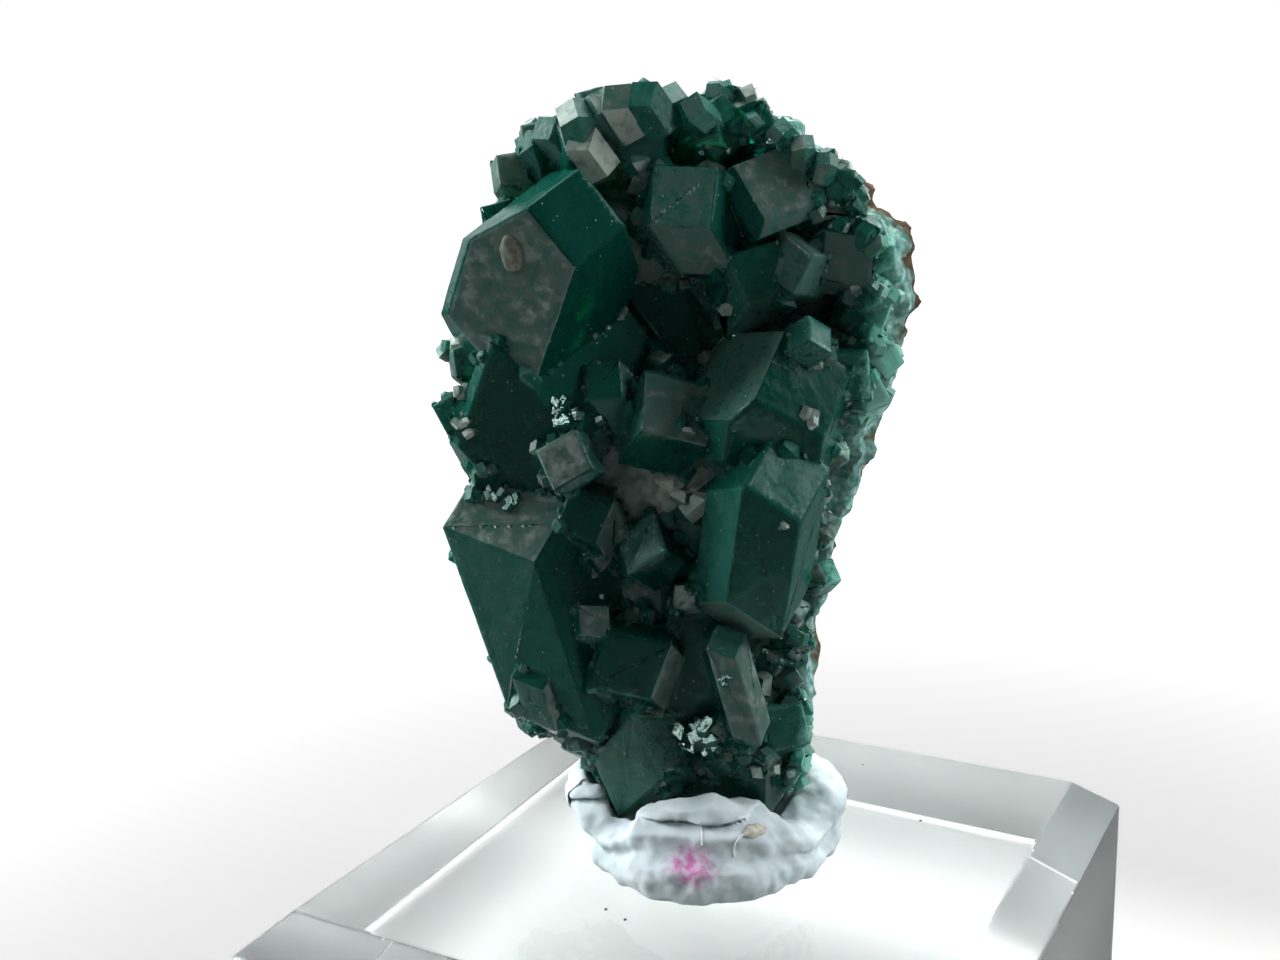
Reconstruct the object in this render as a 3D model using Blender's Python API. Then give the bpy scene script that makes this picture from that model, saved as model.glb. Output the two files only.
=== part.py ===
"""Dioptase crystals on a rock matrix, held upright by mounting putty on a clear display block.

Units are metres and +Z is up. The origin is the middle of the block's underside and the X and Y
axes run along the block's sides. The specimen has a frame of its own, turned on the block, where
it is modelled in millimetres: u to the right of its crystal face, d into its depth and z up from
the block's top face.
"""
import math
import random

import bmesh
import bpy
from mathutils import Matrix, Vector, noise

MM = 0.001

# Display block, in metres
BLOCK_SIDE = 38.0 * MM
BLOCK_HEIGHT = 15.0 * MM
BLOCK_CHAMFER_IN = 2.4 * MM
BLOCK_CHAMFER_DOWN = 2.1 * MM

# Specimen, in millimetres of its own frame
SPECIMEN_TURN = math.radians(29.3)
GAP = 0.3
SOCKET_GAP = 0.4

# Wavy sheet where the crystals meet the rock: its depth at the middle, how it leans to the side,
# the size of its waves, its extent and the number of its quads
CONTACT_DEPTH = 1.0
CONTACT_SLOPE = -0.2
CONTACT_WAVE = 1.6
CONTACT_WAVE_SIZE = 5.0
CONTACT_SHEET = (36.0, 52.0)
CONTACT_QUADS = (18, 26)
CONTACT_MIDDLE_HEIGHT = 22.0
IN_FRONT_OF_ALL = -40.0

# Dioptase habit: how far an end face tilts from the crystal's long axis
END_FACE_TILT = math.radians(50.9)
UNEVEN = 0.04

# Small crystals: how many, the share of the half width at which the rim ones stand, how far in
# front of the contact sheet they stay, their width and how many widths long they are
SMALL_CRYSTALS = 150
RIM_BAND = (0.84, 0.98)
SHEET_MARGIN = 1.0
SMALL_WIDTH = (1.1, 2.2)
SMALL_SLENDERNESS = (1.4, 2.1)

# Crystalline ground that the crystals grow from: height, left edge, right edge, front of a section
GROUND_SECTIONS = [
    (1.8, -4.4, 3.0, -1.0),
    (5.0, -6.0, 4.4, -1.6),
    (9.0, -8.6, 5.0, -1.8),
    (14.0, -10.4, 5.4, -1.8),
    (19.0, -11.6, 6.4, -1.6),
    (24.0, -11.6, 7.8, -1.2),
    (28.0, -11.6, 9.2, -0.4),
    (32.0, -11.4, 9.7, -0.2),
    (36.0, -9.8, 7.7, -0.6),
    (39.0, -7.8, 4.6, -0.8),
    (41.0, -5.0, 1.0, 0.0),
]
GROUND_BACK = 5.0
GROUND_POINTS = 16
GROUND_HACKLE = (-0.5, 0.4)

# Matrix rock: height, left edge, right edge, back of a section
MATRIX_SECTIONS = [
    (1.6, -3.8, 2.8, 3.8),
    (3.0, -4.8, 4.2, 4.8),
    (5.0, -5.4, 5.0, 5.6),
    (8.0, -8.6, 5.6, 6.4),
    (11.0, -10.2, 6.0, 6.8),
    (14.0, -11.2, 6.5, 7.2),
    (17.0, -12.2, 7.1, 7.4),
    (20.0, -12.4, 8.2, 7.6),
    (23.0, -12.0, 9.0, 7.8),
    (26.0, -12.2, 9.9, 8.0),
    (29.0, -12.4, 10.7, 8.0),
    (31.5, -12.2, 11.2, 8.0),
    (34.0, -11.4, 10.9, 7.6),
    (36.0, -10.6, 8.8, 7.2),
    (38.0, -9.2, 7.0, 6.4),
    (39.5, -7.0, 5.0, 5.4),
    (40.4, -4.4, 1.6, 4.2),
]
MATRIX_FRONT = -3.0
MATRIX_POINTS = 34
MATRIX_STEP = 1.6
MATRIX_LUMP = 0.9
MATRIX_LUMP_SIZE = 4.0
FINE_LUMP_SHARE = 0.6
FINE_LUMP_SIZE = 1.75

# How blunt the oval sections are: 1 is an ellipse and less is squarer
OVAL_POWER = 0.75

# Rounded nodules that swell from the rock: centre (u, d, z) and radius
NODULES = [
    ((9.6, 1.6, 33.5), 1.9),
    ((9.9, 1.0, 30.6), 1.6),
    ((9.4, 1.2, 28.0), 1.5),
    ((4.4, 1.6, 39.3), 1.3),
    ((8.0, 2.6, 35.8), 1.6),
    ((-9.9, 2.8, 36.4), 1.0),
]
NODULE_DENT = 0.12
NODULE_DENT_SIZE = 1.1

# Putty: round the foot from the right side by the back, the left and the front. Each direction has
# the radius of the lower roll, the radius of the upper roll and the height of the collar
PUTTY_DIRECTIONS = [
    (7.4, 8.2, 4.0),
    (7.2, 8.0, 4.2),
    (6.4, 6.8, 4.6),
    (6.0, 6.2, 4.8),
    (6.6, 6.8, 5.2),
    (7.2, 7.9, 5.8),
    (7.1, 8.5, 5.2),
    (7.2, 7.6, 2.8),
    (7.6, 6.8, 4.8),
    (7.6, 6.6, 5.0),
    (7.2, 6.8, 3.6),
    (7.2, 7.2, 2.4),
]
# Putty profile from the block up to the collar and in under the crystals: share of the radius,
# blend from the lower to the upper roll, share of the collar's height
PUTTY_PROFILE = [
    (0.94, 0.0, 0.0),
    (1.0, 0.0, 0.16),
    (0.99, 0.0, 0.34),
    (0.92, 0.3, 0.45),
    (0.97, 0.9, 0.56),
    (0.97, 1.0, 0.74),
    (0.86, 1.0, 0.94),
    (0.70, 1.0, 1.0),
    (0.40, 1.0, 0.9),
]
PUTTY_SEGMENTS = 36


def crystal(centre, axis, lean, width, length, sides=(1,) * 6, tops=(1,) * 3, bottoms=(1,) * 3):
    """One crystal: its middle, long axis, the way its first end face leans, and its size.

    The width is across the flats of the prism and the length from tip to tip. The shares bring
    single faces closer to the middle.
    """
    return {
        "centre": Vector(centre),
        "axis": Vector(axis),
        "lean": Vector(lean),
        "width": width,
        "length": length,
        "sides": sides,
        "tops": tops,
        "bottoms": bottoms,
    }


LARGE_CRYSTALS = [
    # upper left: the big frosted block, and the dark one below it in the same position
    crystal((-8.4, -1.1, 33.8), (0.34, -0.38, 0.86), (0.25, -0.84, -0.47), 9.4, 19.0,
            sides=(1, 1, 1, 0.2, 1, 1), tops=(1, 0.5, 0.55)),
    crystal((-8.7, 1.9, 25.7), (0.36, -0.36, 0.86), (0.28, -0.84, -0.47), 10.4, 18.0,
            sides=(1, 1, 1, 0.2, 1, 1)),
    # lower left: the long slab
    crystal((-8.7, 0.1, 14.6), (-0.26, -0.05, 0.96), (0.17, -0.99, 0.0), 8.2, 19.6),
    # right: the two upright prisms
    crystal((3.0, -1.1, 25.8), (0.09, -0.42, 0.90), (0.54, -0.84, 0.0), 8.8, 14.0, tops=(1, 0.6, 0.7)),
    crystal((2.7, -3.3, 19.0), (0.12, -0.25, 0.96), (0.50, -0.87, 0.0), 5.4, 13.0),
    # foot: the two crystals whose tips stand in the putty
    crystal((-3.8, 0.0, 6.4), (-0.33, -0.05, 0.94), (-0.72, -0.63, -0.29), 6.0, 10.4),
    crystal((2.2, 0.4, 5.8), (0.0, -0.30, 0.95), (0.25, -0.90, -0.28), 5.8, 10.4),
]

MIDDLE_CRYSTALS = [
    # head of the specimen
    crystal((-0.4, -1.2, 35.2), (-0.42, -0.53, 0.71), (0.10, -0.96, 0.20), 4.6, 8.4),
    crystal((-2.8, -0.6, 39.4), (0.05, -0.20, 0.97), (0.50, -0.86, 0.0), 3.6, 6.4),
    crystal((-5.4, -0.5, 38.8), (-0.60, -0.45, 0.60), (-0.10, -0.80, 0.55), 3.6, 6.0),
    crystal((3.6, -1.0, 36.6), (0.35, -0.25, 0.90), (0.0, -1.0, 0.0), 5.2, 7.4, tops=(0.8, 0.7, 0.7)),
    crystal((0.4, -0.2, 39.2), (0.30, -0.50, 0.80), (0.30, -0.95, 0.0), 3.8, 6.0),
    crystal((-7.6, 0.6, 38.9), (-0.60, -0.50, 0.60), (0.30, -0.90, 0.0), 2.8, 4.6),
    # right of the hollow
    crystal((6.2, -0.8, 35.9), (0.50, -0.60, 0.60), (0.20, -1.0, 0.0), 3.2, 5.2),
    crystal((7.2, -1.0, 33.2), (0.50, -0.75, 0.35), (0.1, -0.2, 1.0), 3.8, 6.0),
    crystal((4.8, -1.2, 32.6), (0.25, -0.90, 0.35), (0.5, 0.2, 1.0), 3.4, 6.0),
    crystal((2.6, -0.6, 31.8), (0.35, -0.60, 0.70), (0.0, -1.0, 0.0), 3.8, 7.0),
    crystal((8.4, -0.6, 30.4), (0.60, -0.70, 0.30), (0.2, 0.2, 1.0), 2.8, 4.6),
    # middle
    crystal((-1.3, -0.5, 24.7), (-0.40, -0.90, 0.10), (0.26, 0.0, -0.97), 5.2, 10.0),
    crystal((-4.6, -1.6, 26.0), (-0.50, -0.40, 0.76), (0.30, -0.90, 0.30), 2.8, 6.0),
    crystal((-1.4, -1.2, 24.2), (0.10, -0.95, 0.25), (0.0, 0.0, -1.0), 3.0, 7.0),
    crystal((-3.2, -0.9, 17.7), (0.30, -0.90, 0.25), (0.0, 0.0, -1.0), 3.8, 7.0),
    crystal((-6.1, -1.5, 19.8), (-0.30, -0.60, 0.70), (0.0, -1.0, 0.0), 3.6, 6.0),
    crystal((-6.5, -2.7, 14.3), (0.57, -0.60, 0.66), (0.05, -0.97, 0.20), 2.4, 4.4),
    crystal((-7.1, -3.1, 23.3), (-0.66, -0.56, 0.38), (0.56, -0.77, 0.0), 3.4, 4.6),
    # small prisms grown parallel to the long slab, standing a little out of its face
    crystal((-9.0, -2.5, 10.4), (-0.26, -0.05, 0.96), (0.17, -0.99, 0.0), 2.8, 5.6),
    crystal((-7.2, -2.8, 9.6), (-0.26, -0.05, 0.96), (0.17, -0.99, 0.0), 1.4, 4.4),
    # left rim
    crystal((-12.6, -0.9, 25.5), (-0.75, -0.55, 0.35), (0.50, -0.60, 0.0), 2.6, 4.2),
    crystal((-12.1, -0.4, 28.0), (-0.50, -0.60, 0.60), (0.40, -0.80, 0.0), 2.2, 3.6),
    crystal((-9.9, -0.2, 35.2), (-0.70, -0.40, 0.60), (0.30, -0.90, 0.0), 2.4, 3.8),
    crystal((-9.4, 0.0, 37.6), (-0.50, -0.50, 0.70), (0.50, -0.70, 0.0), 2.4, 3.6),
    crystal((-11.4, -1.0, 21.8), (-0.40, -0.70, 0.50), (0.20, -0.90, 0.0), 2.2, 3.4),
    crystal((-8.3, 0.2, 9.5), (-0.40, -0.30, -0.85), (0.30, -0.95, 0.0), 4.2, 6.2),
    # right rim
    crystal((5.3, -3.0, 29.0), (-0.10, -0.95, 0.20), (0.0, 0.0, -1.0), 2.4, 6.0),
    crystal((6.6, -1.2, 26.8), (0.55, -0.60, 0.55), (0.25, -0.93, 0.20), 3.8, 6.4),
    # lower middle
    crystal((-4.1, -1.6, 12.0), (-0.30, -0.70, 0.60), (0.0, -1.0, 0.0), 5.2, 8.0),
    crystal((1.4, -3.2, 10.6), (-0.24, -0.10, 0.95), (0.3, -0.95, 0.0), 2.4, 8.0),
    crystal((3.6, -1.0, 7.3), (0.50, -0.50, 0.70), (0.0, -1.0, 0.0), 3.4, 5.6),
]


def specimen_matrix():
    """From the specimen's own frame in millimetres to the block's frame in metres."""
    turn = Matrix.Rotation(SPECIMEN_TURN, 4, "Z")
    lift = Matrix.Translation((0.0, 0.0, BLOCK_HEIGHT))
    return lift @ turn @ Matrix.Scale(MM, 4)


def material(name, colour, roughness, transmission=0.0):
    made = bpy.data.materials.new(name)
    made.use_nodes = True
    shader = made.node_tree.nodes["Principled BSDF"]
    shader.inputs["Base Color"].default_value = (*colour, 1.0)
    shader.inputs["Roughness"].default_value = roughness
    shader.inputs["Metallic"].default_value = 0.0
    shader.inputs["Transmission Weight"].default_value = transmission
    made.diffuse_color = (*colour, 1.0)
    return made


def new_object(name, bm, collection, surface=None):
    mesh = bpy.data.meshes.new(name)
    bm.to_mesh(mesh)
    bm.free()
    made = bpy.data.objects.new(name, mesh)
    collection.objects.link(made)
    if surface:
        mesh.materials.append(surface)
    return made


def new_cutter(name, bm, collection):
    made = new_object(name, bm, collection)
    made.hide_render = True
    made.display_type = "WIRE"
    return made


def add_boolean(target, operation, tool, solver="EXACT"):
    """Join or cut with one object, or with every object of a collection."""
    boolean = target.modifiers.new(operation.title(), "BOOLEAN")
    boolean.operation = operation
    boolean.solver = solver
    if isinstance(tool, bpy.types.Collection):
        boolean.operand_type = "COLLECTION"
        boolean.collection = tool
    else:
        boolean.object = tool
    return boolean


def cut_away(bm, point, normal):
    """Cut off what lies beyond a plane and close the cut with one flat face."""
    geometry = bm.verts[:] + bm.edges[:] + bm.faces[:]
    cut = bmesh.ops.bisect_plane(
        bm, geom=geometry, dist=1e-4, plane_co=point, plane_no=normal, clear_outer=True)
    rim = [item for item in cut["geom_cut"] if isinstance(item, bmesh.types.BMEdge)]
    if len(rim) > 2:
        bmesh.ops.edgeloop_fill(bm, edges=rim)


def crystal_mesh(shape, seed, grow=0.0):
    """A six-sided prism with three sloping faces on each end, cut from a block round its middle.

    An end face leans out over every second prism edge, and the faces of the two ends alternate.
    Every face stands a little closer than on an ideal crystal, by a share that the seed chooses.
    """
    chance = random.Random(seed)
    bm = bmesh.new()
    bmesh.ops.create_cube(bm, size=2.0 * (shape["width"] + shape["length"]))
    for side, share in enumerate(shape["sides"]):
        angle = math.radians(30.0 + 60.0 * side)
        normal = Vector((math.cos(angle), math.sin(angle), 0.0))
        reach = 0.5 * shape["width"] * share * (1.0 - UNEVEN * chance.random())
        cut_away(bm, normal * (reach + grow), normal)
    for end, first_angle, shares in ((1.0, 0.0, shape["tops"]), (-1.0, 180.0, shape["bottoms"])):
        for turn, share in enumerate(shares):
            angle = math.radians(first_angle + 120.0 * turn)
            normal = Vector((
                math.cos(angle) * math.sin(END_FACE_TILT),
                math.sin(angle) * math.sin(END_FACE_TILT),
                end * math.cos(END_FACE_TILT)))
            reach = 0.5 * shape["length"] * math.cos(END_FACE_TILT)
            reach *= share * (1.0 - UNEVEN * chance.random())
            cut_away(bm, normal * (reach + grow), normal)
    z_axis = shape["axis"].normalized()
    x_axis = (shape["lean"] - z_axis * z_axis.dot(shape["lean"])).normalized()
    y_axis = z_axis.cross(x_axis)
    bm.transform(Matrix((x_axis, y_axis, z_axis)).transposed().to_4x4())
    bm.transform(Matrix.Translation(shape["centre"]))
    return bm


def loft(rings):
    """A closed skin through rings of points, with a fan on each end."""
    bm = bmesh.new()
    loops = [[bm.verts.new(point) for point in ring] for ring in rings]
    count = len(loops[0])
    for lower, upper in zip(loops, loops[1:]):
        for index in range(count):
            after = (index + 1) % count
            bm.faces.new((lower[index], lower[after], upper[after], upper[index]))
    for loop in (loops[0], loops[-1]):
        middle = sum((vert.co for vert in loop), Vector()) / count
        peak = bm.verts.new(middle)
        for index in range(count):
            bm.faces.new((loop[index], loop[(index + 1) % count], peak))
    bmesh.ops.recalc_face_normals(bm, faces=bm.faces)
    return bm


def section_ring(height, left, right, front, back, count):
    """A blunt oval between a section's four limits."""
    middle_u = 0.5 * (left + right)
    middle_d = 0.5 * (front + back)
    points = []
    for index in range(count):
        angle = 2.0 * math.pi * index / count
        across, deep = math.cos(angle), math.sin(angle)
        across = math.copysign(abs(across) ** OVAL_POWER, across)
        deep = math.copysign(abs(deep) ** OVAL_POWER, deep)
        points.append(Vector((
            middle_u + across * 0.5 * (right - left),
            middle_d + deep * 0.5 * (back - front),
            height)))
    return points


def push_out(bm, distance):
    bm.normal_update()
    for vert, normal in [(vert, vert.normal.copy()) for vert in bm.verts]:
        vert.co += normal * distance


def sections_between(sections, step):
    """The sections again at even heights, blended from the listed ones."""
    made = []
    height = sections[0][0]
    while height < sections[-1][0]:
        above = next(index for index in range(1, len(sections)) if sections[index][0] > height)
        lower, upper = sections[above - 1], sections[above]
        blend = (height - lower[0]) / (upper[0] - lower[0])
        made.append(tuple(one + (other - one) * blend for one, other in zip(lower, upper)))
        height += step
    return made + [sections[-1]]


def ground_mesh(grow=0.0):
    """The massive dioptase between the crystals, hackly where it shows."""
    rings = [section_ring(height, left, right, front, GROUND_BACK, GROUND_POINTS)
             for height, left, right, front in GROUND_SECTIONS]
    bm = loft(rings)
    chance = random.Random(4)
    bm.normal_update()
    for vert in bm.verts:
        vert.co += vert.normal * chance.uniform(*GROUND_HACKLE)
    push_out(bm, grow)
    return bm


def matrix_mesh(grow=0.0):
    """The lumpy rock behind the crystals."""
    rings = [section_ring(height, left, right, MATRIX_FRONT, back, MATRIX_POINTS)
             for height, left, right, back in sections_between(MATRIX_SECTIONS, MATRIX_STEP)]
    bm = loft(rings)
    bm.normal_update()
    for vert, normal in [(vert, vert.normal.copy()) for vert in bm.verts]:
        lump = noise.noise(vert.co / MATRIX_LUMP_SIZE)
        lump += FINE_LUMP_SHARE * noise.noise(vert.co / FINE_LUMP_SIZE)
        vert.co += normal * lump * MATRIX_LUMP
    push_out(bm, grow)
    return bm


def nodule_mesh(centre, radius):
    """A slightly dented ball."""
    bm = bmesh.new()
    bmesh.ops.create_icosphere(bm, subdivisions=2, radius=radius)
    bm.transform(Matrix.Translation(centre))
    for vert in bm.verts:
        dent = NODULE_DENT * noise.noise(vert.co / NODULE_DENT_SIZE)
        vert.co += (vert.co - Vector(centre)) * dent
    return bm


def putty_mesh():
    """The putty pressed up round the foot: a full belly, a fold line and a wavy collar."""
    count = len(PUTTY_DIRECTIONS)
    rings = []
    for share, roll, height_share in PUTTY_PROFILE:
        ring = []
        for index in range(PUTTY_SEGMENTS):
            place = index * count / PUTTY_SEGMENTS
            first = int(place)
            blend = 0.5 - 0.5 * math.cos(math.pi * (place - first))
            before, after = PUTTY_DIRECTIONS[first % count], PUTTY_DIRECTIONS[(first + 1) % count]
            lower, upper, collar = (one + (other - one) * blend for one, other in zip(before, after))
            radius = lower + (upper - lower) * roll
            angle = 2.0 * math.pi * index / PUTTY_SEGMENTS
            ring.append(Vector((
                radius * share * math.cos(angle),
                radius * share * math.sin(angle),
                GAP + (collar - GAP) * height_share)))
        rings.append(ring)
    return loft(rings)


def contact_box(shift):
    """Everything in front of the wavy sheet where the crystals meet the rock."""
    bm = bmesh.new()
    bmesh.ops.create_grid(bm, x_segments=CONTACT_QUADS[0], y_segments=CONTACT_QUADS[1], size=0.5)
    bmesh.ops.scale(bm, vec=(*CONTACT_SHEET, 1.0), verts=bm.verts)
    bm.transform(Matrix.Rotation(math.radians(90.0), 4, "X"))
    bm.transform(Matrix.Translation((0.0, 0.0, CONTACT_MIDDLE_HEIGHT)))
    for vert in bm.verts:
        wave = noise.noise(vert.co / CONTACT_WAVE_SIZE + Vector((5.0, 0.0, 0.0)))
        vert.co.y += CONTACT_DEPTH + CONTACT_SLOPE * vert.co.x + shift + CONTACT_WAVE * wave
    far = bmesh.ops.extrude_face_region(bm, geom=bm.faces[:])
    moved = [item for item in far["geom"] if isinstance(item, bmesh.types.BMVert)]
    for vert in moved:
        vert.co.y = IN_FRONT_OF_ALL
    return bm


def scattered_crystals():
    """Small crystals that crowd the rim and the hollows between the large ones."""
    chance = random.Random(11)
    made = []
    for number in range(SMALL_CRYSTALS):
        section = chance.uniform(0.9, len(GROUND_SECTIONS) - 1.05)
        lower = GROUND_SECTIONS[int(section)]
        upper = GROUND_SECTIONS[int(section) + 1]
        blend = section - int(section)
        height, left, right, front = (
            one + (other - one) * blend for one, other in zip(lower, upper))
        across = chance.uniform(-1.0, 1.0)
        on_rim = number % 3 != 0
        if on_rim:
            across = math.copysign(chance.uniform(*RIM_BAND), across)
        outward = abs(across) ** 3 * math.copysign(1.0, across)
        depth = front + 1.6 * abs(outward) + chance.uniform(-0.3, 1.8 if on_rim else 0.2)
        axis = (
            outward + chance.uniform(-0.5, 0.5),
            -1.0 + 0.5 * abs(outward) + chance.uniform(-0.3, 0.3),
            chance.uniform(-0.5, 0.7))
        lean = (chance.uniform(-1.0, 1.0), chance.uniform(-1.0, 1.0), chance.uniform(-1.0, 1.0))
        width = chance.uniform(*SMALL_WIDTH)
        sideways = 0.5 * (left + right) + across * 0.5 * (right - left)
        sheet = CONTACT_DEPTH + CONTACT_SLOPE * sideways
        centre = (sideways, min(depth, sheet - SHEET_MARGIN), height)
        made.append(crystal(centre, axis, lean, width, width * chance.uniform(*SMALL_SLENDERNESS)))
    return made


def block_mesh():
    """A square block whose top edges slope in to a smaller top face."""
    bm = bmesh.new()
    bmesh.ops.create_cube(bm, size=1.0)
    body_height = BLOCK_HEIGHT - BLOCK_CHAMFER_DOWN
    bmesh.ops.scale(bm, vec=(BLOCK_SIDE, BLOCK_SIDE, body_height), verts=bm.verts)
    bmesh.ops.translate(bm, vec=(0.0, 0.0, 0.5 * body_height), verts=bm.verts)
    top = [face for face in bm.faces if face.normal.z > 0.9]
    raised = bmesh.ops.extrude_face_region(bm, geom=top)
    corners = [item for item in raised["geom"] if isinstance(item, bmesh.types.BMVert)]
    bmesh.ops.delete(bm, geom=top, context="FACES")
    inset = (BLOCK_SIDE - 2.0 * BLOCK_CHAMFER_IN) / BLOCK_SIDE
    bmesh.ops.scale(bm, vec=(inset, inset, 1.0), verts=corners)
    bmesh.ops.translate(bm, vec=(0.0, 0.0, BLOCK_CHAMFER_DOWN), verts=corners)
    bm.normal_update()
    bmesh.ops.recalc_face_normals(bm, faces=bm.faces)
    return bm


def placed(bm):
    """Turned faces out and moved onto the block."""
    bm.normal_update()
    bmesh.ops.recalc_face_normals(bm, faces=bm.faces)
    bm.transform(specimen_matrix())
    return bm


def build_crystals(parts, growth, cutters):
    shapes = LARGE_CRYSTALS + MIDDLE_CRYSTALS + scattered_crystals()
    for index, shape in enumerate(shapes):
        new_cutter("crystal_%03d" % index, placed(crystal_mesh(shape, index)), growth)
    green = material("dioptase_green", (0.0, 0.16, 0.09), 0.2, 0.6)
    made = new_object("dioptase_crystals", placed(ground_mesh()), parts, green)
    add_boolean(made, "UNION", growth)
    # The exact solver can lose the whole cluster on this wavy cut, so it takes the manifold one
    before = new_cutter("crystal_contact", placed(contact_box(0.0)), cutters)
    add_boolean(made, "INTERSECT", before, "MANIFOLD")
    return made


def build_matrix(parts, nodules, cutters):
    for index, (centre, radius) in enumerate(NODULES):
        new_cutter("nodule_%d" % index, placed(nodule_mesh(centre, radius)), nodules)
    brown = material("matrix_brown", (0.16, 0.12, 0.07), 0.9)
    made = new_object("matrix_rock", placed(matrix_mesh()), parts, brown)
    add_boolean(made, "UNION", nodules)
    before = new_cutter("rock_contact", placed(contact_box(GAP)), cutters)
    add_boolean(made, "DIFFERENCE", before)
    return made


def build_putty(parts, socket):
    shapes = LARGE_CRYSTALS + MIDDLE_CRYSTALS + scattered_crystals()
    collar_top = max(collar for lower, upper, collar in PUTTY_DIRECTIONS)
    for index, shape in enumerate(shapes):
        if shape["centre"].z - 0.6 * shape["length"] < collar_top + SOCKET_GAP:
            new_cutter("socket_%03d" % index, placed(crystal_mesh(shape, index, SOCKET_GAP)), socket)
    new_cutter("socket_ground", placed(ground_mesh(SOCKET_GAP)), socket)
    new_cutter("socket_rock", placed(matrix_mesh(SOCKET_GAP)), socket)
    grey = material("putty_grey", (0.55, 0.61, 0.64), 0.8)
    made = new_object("mounting_putty", placed(putty_mesh()), parts, grey)
    add_boolean(made, "DIFFERENCE", socket)
    return made


def remove_everything():
    for old in list(bpy.data.objects):
        bpy.data.objects.remove(old, do_unlink=True)


def new_collection(name, parent):
    made = bpy.data.collections.new(name)
    parent.children.link(made)
    return made


def main():
    remove_everything()
    scene = bpy.context.scene.collection
    parts = new_collection("dioptase_specimen", scene)
    cutters = new_collection("cutters", scene)
    growth = new_collection("crystal_growth", cutters)
    nodules = new_collection("rock_nodules", cutters)
    socket = new_collection("putty_socket", cutters)
    clear = material("clear_block", (0.96, 0.98, 0.98), 0.03, 1.0)
    new_object("display_block", block_mesh(), parts, clear)
    build_crystals(parts, growth, cutters)
    build_matrix(parts, nodules, cutters)
    build_putty(parts, socket)


main()
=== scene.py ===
import math
import random

import bpy
from mathutils import Matrix, Vector


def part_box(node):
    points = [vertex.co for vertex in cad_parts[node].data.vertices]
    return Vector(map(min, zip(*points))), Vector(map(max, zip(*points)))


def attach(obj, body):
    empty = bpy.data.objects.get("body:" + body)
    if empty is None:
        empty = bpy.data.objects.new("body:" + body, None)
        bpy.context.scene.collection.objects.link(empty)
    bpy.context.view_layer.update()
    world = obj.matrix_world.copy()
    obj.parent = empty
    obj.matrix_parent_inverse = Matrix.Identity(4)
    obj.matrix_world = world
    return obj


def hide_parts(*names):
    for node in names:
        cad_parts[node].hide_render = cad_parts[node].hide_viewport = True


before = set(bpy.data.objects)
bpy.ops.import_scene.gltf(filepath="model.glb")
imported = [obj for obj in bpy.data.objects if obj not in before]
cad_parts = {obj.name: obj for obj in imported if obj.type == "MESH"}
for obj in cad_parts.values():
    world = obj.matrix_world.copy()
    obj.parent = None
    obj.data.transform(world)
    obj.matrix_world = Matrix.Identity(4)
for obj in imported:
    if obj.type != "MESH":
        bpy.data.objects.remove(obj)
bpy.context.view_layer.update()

# The light tent: a pale floor and white walls with a dark opening where the camera looks in, three
# soft lamps over, left and right of the specimen, and a small one in front for the glints.
FLOOR_SIZE = 6.0
FLOOR_DROP = 0.0003
GLOW_REACH = (0.035, 0.17)
GLOW_STRENGTH = (0.05, 1.0)
PAINTED_LIGHT_UNDER_BLOCK_REACH = (0.019, 0.038)
FLOOR_PAINTED_LIGHT_UNDER_BLOCK = (0.37, 0.37, 0.365)
FLOOR_ROUND_BLOCK = (0.21, 0.21, 0.208)
FLOOR_PAINTED_SHADE_IN_MIRRORS = (0.04, 0.04, 0.04)
WHITE = (1.0, 1.0, 1.0)
TENT_WHITE = (0.93, 0.97, 1.0)
TOWARDS_CAMERA = (0.437, -0.865, 0.247)
OPENING_REACH = (-0.25, 0.55)
OPENING_STRENGTH = (0.55, 0.03)
scene = bpy.context.scene
scene.view_settings.view_transform = "Standard"
scene.view_settings.look = "None"


def new_finish(name):
    """A new material, with its node tree and its main shader."""
    finish = bpy.data.materials.new(name)
    finish.use_nodes = True
    return finish, finish.node_tree, finish.node_tree.nodes["Principled BSDF"]


def feed(socket, value):
    """Gives an input its value: a number, a colour of three parts, or the output of a node."""
    if isinstance(value, bpy.types.NodeSocket):
        socket.id_data.links.new(value, socket)
    elif socket.type == "RGBA":
        socket.default_value = (*value, 1.0)
    else:
        socket.default_value = value


def worked_out(tree, operation, *values, clamp=False):
    """The result of one sum, such as MULTIPLY or MAXIMUM, held from 0 to 1 if clamp is set."""
    node = tree.nodes.new("ShaderNodeMath")
    node.operation = operation
    node.use_clamp = clamp
    for socket, value in zip(node.inputs, values):
        feed(socket, value)
    return node.outputs[0]


def stretched(tree, value, reach, result=(0.0, 1.0), kind="LINEAR"):
    """A value that runs over the reach, stretched to run over the result and held at its ends."""
    node = tree.nodes.new("ShaderNodeMapRange")
    node.interpolation_type = kind
    feed(node.inputs["Value"], value)
    for name, number in zip(("From Min", "From Max", "To Min", "To Max"), (*reach, *result)):
        feed(node.inputs[name], number)
    return node.outputs[0]


def painted(tree, share, under, over):
    """One colour painted over another, by a share from 0 to 1."""
    node = tree.nodes.new("ShaderNodeMix")
    node.data_type = "RGBA"
    for socket, value in zip((node.inputs[0], node.inputs[6], node.inputs[7]), (share, under, over)):
        feed(socket, value)
    return node.outputs[2]


def far_along(tree, place, direction):
    """How far a place lies along a direction."""
    node = tree.nodes.new("ShaderNodeVectorMath")
    node.operation = "DOT_PRODUCT"
    feed(node.inputs[0], place)
    feed(node.inputs[1], direction)
    return node.outputs["Value"]


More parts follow.
